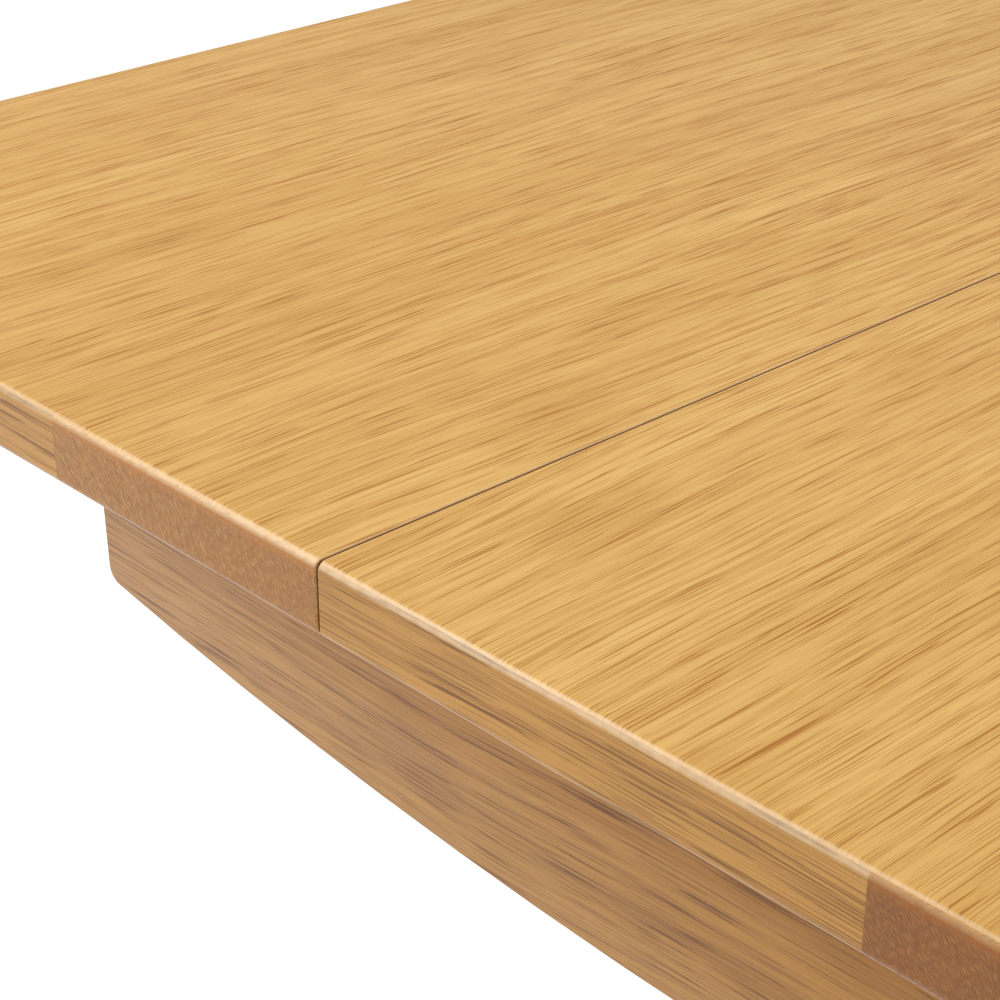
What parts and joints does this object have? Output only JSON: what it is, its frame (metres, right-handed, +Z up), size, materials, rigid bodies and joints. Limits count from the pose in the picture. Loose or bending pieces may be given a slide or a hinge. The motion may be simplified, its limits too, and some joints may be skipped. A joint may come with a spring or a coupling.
{
  "type": "extendable dining table",
  "caption": "Extendable dining table: a sliding main top, a lift-out leaf on pull-out lopers, swept side rails and a twin-post trestle base.",
  "frame": {"origin": "on the floor under the middle of the extended table", "axes": "+X along the table from the leaf's end to the main top's end, +Y across it, +Z up"},
  "size_m": [1.6508, 0.8, 0.74],
  "materials": {
    "beech": "waxed beech",
    "black_nylon": "matt",
    "brass_bush": "turned",
    "felt_pad": "felt",
    "oak_backing": "thin lacquer",
    "oak_core": "unseen inside the top",
    "oak_edge": "satin lacquer, long grain",
    "oak_end_grain": "satin lacquer, end grain",
    "oak_frame": "satin lacquer",
    "oak_veneer": "satin lacquer, honey oak, grain across the table",
    "zinc_steel": "zinc plated"
  },
  "bodies": {
    "base": {"back_guide_beam": "beech", "back_side_rail": "oak_frame", "bearer_brackets": "zinc_steel", "corner_blocks": "oak_frame", "floor_glides": "black_nylon", "frame_screws": "zinc_steel", "front_guide_beam": "beech", "front_side_rail": "oak_frame", "glide_strips": "black_nylon", "left_back_post": "oak_frame", "left_cross_bearer": "oak_frame", "left_end_rail": "oak_frame", "left_foot": "oak_frame", "left_front_post": "oak_frame", "loper_keepers": "zinc_steel", "pin_bushes": "brass_bush", "right_back_post": "oak_frame", "right_cross_bearer": "oak_frame", "right_end_rail": "oak_frame", "right_foot": "oak_frame", "right_front_post": "oak_frame", "stretcher": "oak_frame", "stretcher_bolts": "zinc_steel"},
    "main_top": {"main_back_end_lipping": "oak_edge", "main_back_middle_lipping": "oak_edge", "main_back_seam_lipping": "oak_edge", "main_backing_veneer": "oak_backing", "main_end_core": "oak_core", "main_end_face_lipping": "oak_edge", "main_front_end_lipping": "oak_edge", "main_front_middle_lipping": "oak_edge", "main_front_seam_lipping": "oak_edge", "main_left_batten": "oak_end_grain", "main_middle_core": "oak_core", "main_right_batten": "oak_end_grain", "main_seam_core": "oak_core", "main_seam_face_lipping": "oak_edge", "main_top_veneer": "oak_veneer", "front_top_runner": "beech", "back_top_runner": "beech", "runner_screws": "zinc_steel", "button_pivots": "zinc_steel"},
    "leaf": {"leaf_back_lipping": "oak_edge", "leaf_backing_veneer": "oak_backing", "leaf_core": "oak_core", "leaf_end_face_lipping": "oak_edge", "leaf_front_lipping": "oak_edge", "leaf_narrow_stave": "oak_end_grain", "leaf_pins": "zinc_steel", "leaf_top_veneer": "oak_veneer", "leaf_wide_stave": "oak_end_grain"},
    "front_loper": {"front_loper": "beech", "front_loper_pad": "felt_pad", "front_loper_stop_pin": "zinc_steel"},
    "front_turn_button": {"front_turn_button": "zinc_steel"},
    "back_loper": {"back_loper": "beech", "back_loper_pad": "felt_pad", "back_loper_stop_pin": "zinc_steel"},
    "back_turn_button": {"back_turn_button": "zinc_steel"}
  },
  "joints": [
    {"name": "main_top_slide", "type": "slide", "parent": "base", "child": "main_top", "axis": [1, 0, 0], "range_m": [0, 0.04]},
    {"name": "leaf_lift", "type": "slide", "parent": "base", "child": "leaf", "axis": [0, 0, 1], "range_m": [0, 0.15]},
    {"name": "front_loper_slide", "type": "slide", "parent": "base", "child": "front_loper", "axis": [1, 0, 0], "range_m": [0, 0.22]},
    {"name": "back_loper_slide", "type": "slide", "parent": "base", "child": "back_loper", "axis": [1, 0, 0], "range_m": [0, 0.22]},
    {"name": "front_turn_button_pivot", "type": "hinge", "parent": "main_top", "child": "front_turn_button", "pos_m": [-0.3396, -0.14, 0.71], "axis": [0, 0, 1], "range_deg": [0, 90]},
    {"name": "back_turn_button_pivot", "type": "hinge", "parent": "main_top", "child": "back_turn_button", "pos_m": [-0.3396, 0.14, 0.71], "axis": [0, 0, -1], "range_deg": [0, 90]}
  ]
}
